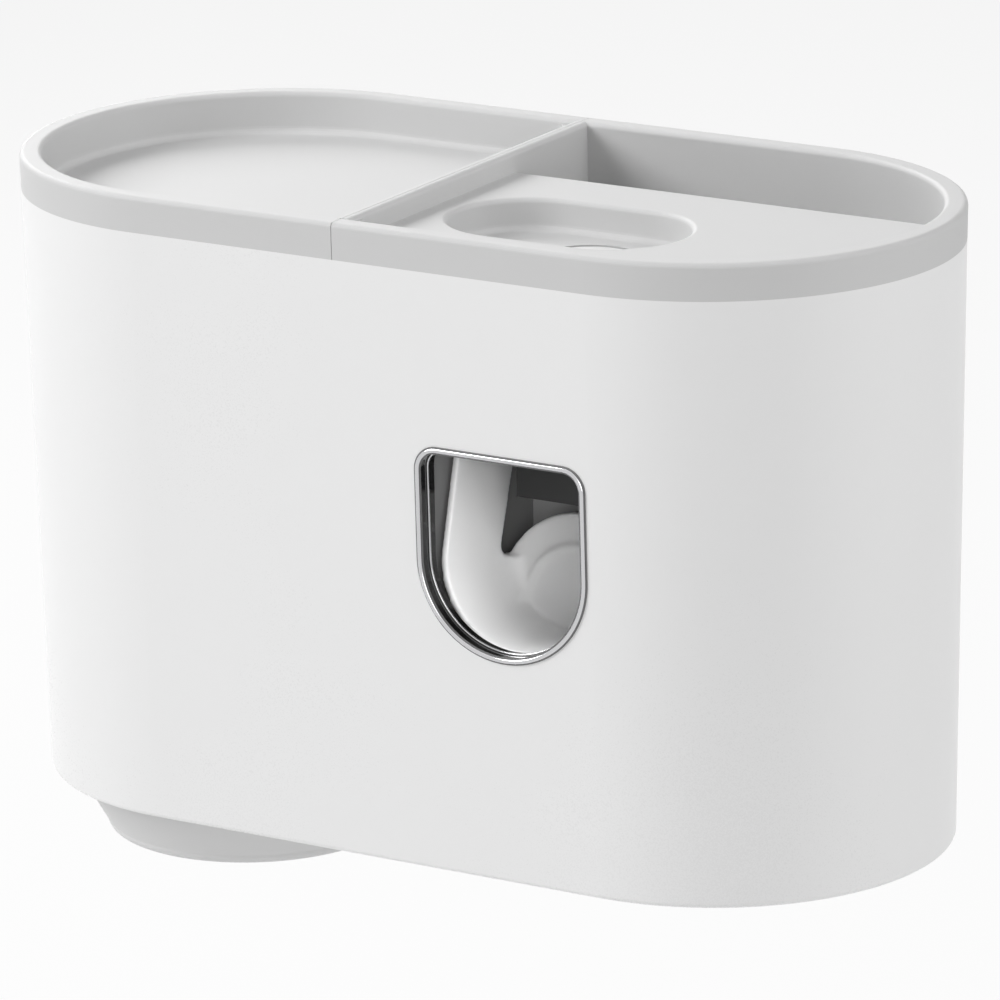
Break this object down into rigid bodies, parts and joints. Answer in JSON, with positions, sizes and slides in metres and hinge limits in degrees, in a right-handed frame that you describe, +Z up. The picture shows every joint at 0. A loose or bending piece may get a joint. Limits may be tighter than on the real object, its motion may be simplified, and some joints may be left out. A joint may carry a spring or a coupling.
{
  "type": "toothpaste dispenser",
  "caption": "Wall-hung bathroom organiser with a push-lever toothpaste pump behind an arched window, a top tray, a tube socket with a storage slot, and a magnetic cup seat.",
  "frame": {"origin": "middle of the adhesive pad's back face, on the wall plane", "axes": "+X to the right along the body's length, +Y into the wall, +Z up; the front with the window looks along -Y"},
  "size_m": [0.2, 0.1003, 0.1404],
  "materials": {
    "shell_white": "satin moulded plastic",
    "tray_grey": "fine matt moulded plastic",
    "seat_grey": "fine matt moulded plastic",
    "lever_white": "smooth moulded plastic",
    "white_plastic": "plain moulded plastic",
    "bezel_chrome": "polished",
    "liner_dark": "polished dark",
    "pump_charcoal": "plain moulded plastic",
    "case_grey": "plain moulded plastic",
    "screw_steel": "plain stainless",
    "magnet_nickel": "nickel plated",
    "silicone": "soft translucent",
    "bumper_rubber": "matt",
    "adhesive_foam": "matt foam"
  },
  "bodies": {
    "hanger": {"adhesive_pad": "adhesive_foam", "wall_plate": "white_plastic"},
    "housing": {"body_shell": "shell_white", "wall_bumpers": "bumper_rubber", "window_bezel": "bezel_chrome", "window_liner": "liner_dark", "pump_case": "case_grey", "case_cheeks": "case_grey", "case_screws": "screw_steel", "pump_block": "pump_charcoal", "pump_screws": "screw_steel", "chamber_cap": "white_plastic", "inlet_seal": "silicone", "inlet_valve": "silicone", "valve_plug": "pump_charcoal", "outlet_valve": "silicone", "lever_pins": "screw_steel", "cup_seat": "seat_grey", "seat_screws": "screw_steel", "seat_magnet": "magnet_nickel", "magnet_yoke": "screw_steel"},
    "left_tray": {"left_tray": "tray_grey"},
    "right_tray": {"right_tray": "tray_grey"},
    "lever": {"push_lever": "lever_white"},
    "piston": {"plunger": "white_plastic", "plunger_seal": "silicone", "return_spring": "screw_steel"}
  },
  "joints": [
    {"name": "housing_lift", "type": "slide", "parent": "hanger", "child": "housing", "axis": [0, 0, 1], "range_m": [0, 0.0105]},
    {"name": "left_tray_lift", "type": "slide", "parent": "housing", "child": "left_tray", "axis": [0, 0, 1], "range_m": [0, 0.02]},
    {"name": "right_tray_lift", "type": "slide", "parent": "housing", "child": "right_tray", "axis": [0, 0, 1], "range_m": [0, 0.02]},
    {"name": "lever_push", "type": "hinge", "parent": "housing", "child": "lever", "pos_m": [0.0314, -0.07145, 0.042], "axis": [1, 0, 0], "range_deg": [0, 10], "stiffness_Nm_per_rad": 0.6, "springref_deg": -5.73},
    {"name": "plunger_press", "type": "slide", "parent": "housing", "child": "piston", "axis": [0, 0, -1], "range_m": [0, 0.0023], "deforming": ["return_spring"]}
  ],
  "couplings": [
    {"joint": "plunger_press", "follows": "lever_push", "m_per_rad": 0.01298}
  ]
}
